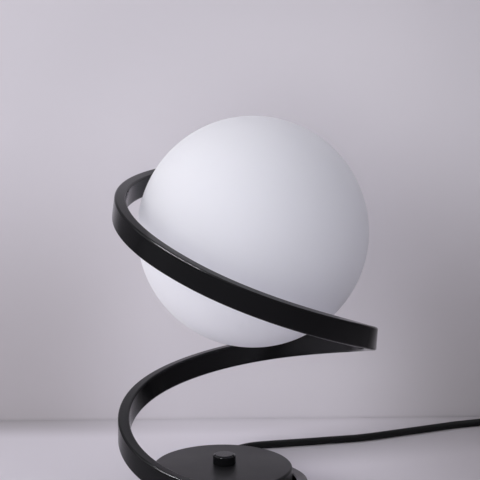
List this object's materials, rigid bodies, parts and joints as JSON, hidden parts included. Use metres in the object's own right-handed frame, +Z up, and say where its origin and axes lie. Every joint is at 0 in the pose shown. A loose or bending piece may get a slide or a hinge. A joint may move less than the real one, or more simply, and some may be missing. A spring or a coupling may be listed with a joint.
{
  "type": "table lamp",
  "caption": "Table lamp with an opal glass globe carried by a flat black tube that winds up in a spiral from a low round base with a dimmer knob",
  "frame": {"origin": "on the table under the axis of the round base", "axes": "+X to the right as the lamp is seen from the front, +Y away from the viewer, +Z up"},
  "size_m": [0.4709, 0.3604, 0.34],
  "materials": {
    "black_coat": "satin black powder coat",
    "knob_black": "smooth black plastic, slightly glossy",
    "opal_glass": "satin opal white glass",
    "zinc_steel": "zinc plated",
    "yellow_brass": "plain brass",
    "grey_iron": "as cast",
    "foot_rubber": "matt black rubber",
    "dimmer_case": "moulded dark plastic",
    "holder_white": "moulded off-white plastic",
    "bulb_white": "frosted white plastic",
    "cord_sheath": "soft black sheath",
    "moulded_black": "moulded black plastic"
  },
  "bodies": {
    "lamp": {"base_shell": "black_coat", "bottom_plate": "black_coat", "spiral_tube": "black_coat", "tube_foot_cap": "black_coat", "tube_top_cap": "black_coat", "tube_saddle": "black_coat", "stem_collar": "black_coat", "globe_cap": "black_coat", "globe": "opal_glass", "ballast_screw": "zinc_steel", "shell_post_1": "zinc_steel", "shell_post_2": "zinc_steel", "shell_post_3": "zinc_steel", "base_screw_1": "zinc_steel", "base_screw_2": "zinc_steel", "base_screw_3": "zinc_steel", "dimmer_nut": "zinc_steel", "nut_plate": "zinc_steel", "tube_screw_1": "zinc_steel", "tube_screw_2": "zinc_steel", "stem": "zinc_steel", "stem_nut": "zinc_steel", "globe_bar": "zinc_steel", "clamp_screw_1": "zinc_steel", "clamp_screw_2": "zinc_steel", "wire_nipple": "yellow_brass", "nipple_nut": "yellow_brass", "bulb_cap": "yellow_brass", "terminal_screw_1": "yellow_brass", "terminal_screw_2": "yellow_brass", "plug_pin_1": "yellow_brass", "plug_pin_2": "yellow_brass", "ballast": "grey_iron", "foot_pad": "foot_rubber", "globe_gasket": "foot_rubber", "dimmer_body": "dimmer_case", "lamp_holder": "holder_white", "terminal_block": "holder_white", "cord_clamp": "holder_white", "bulb_body": "bulb_white", "bulb_dome": "bulb_white", "lamp_wire": "cord_sheath", "supply_lead": "cord_sheath", "dimmer_lead": "cord_sheath", "cord_stretch": "cord_sheath", "cord_coil": "cord_sheath", "cord_end": "cord_sheath", "cord_grip": "moulded_black", "coil_tie": "moulded_black", "plug_body": "moulded_black"},
    "knob": {"knob": "knob_black", "knob_screw": "zinc_steel", "dimmer_shaft": "zinc_steel"}
  },
  "joints": [
    {"name": "knob_turn", "type": "hinge", "parent": "lamp", "child": "knob", "pos_m": [0.0015, 0.005, 0.036], "axis": [0, 0, 1], "range_deg": [-300, 0]}
  ]
}
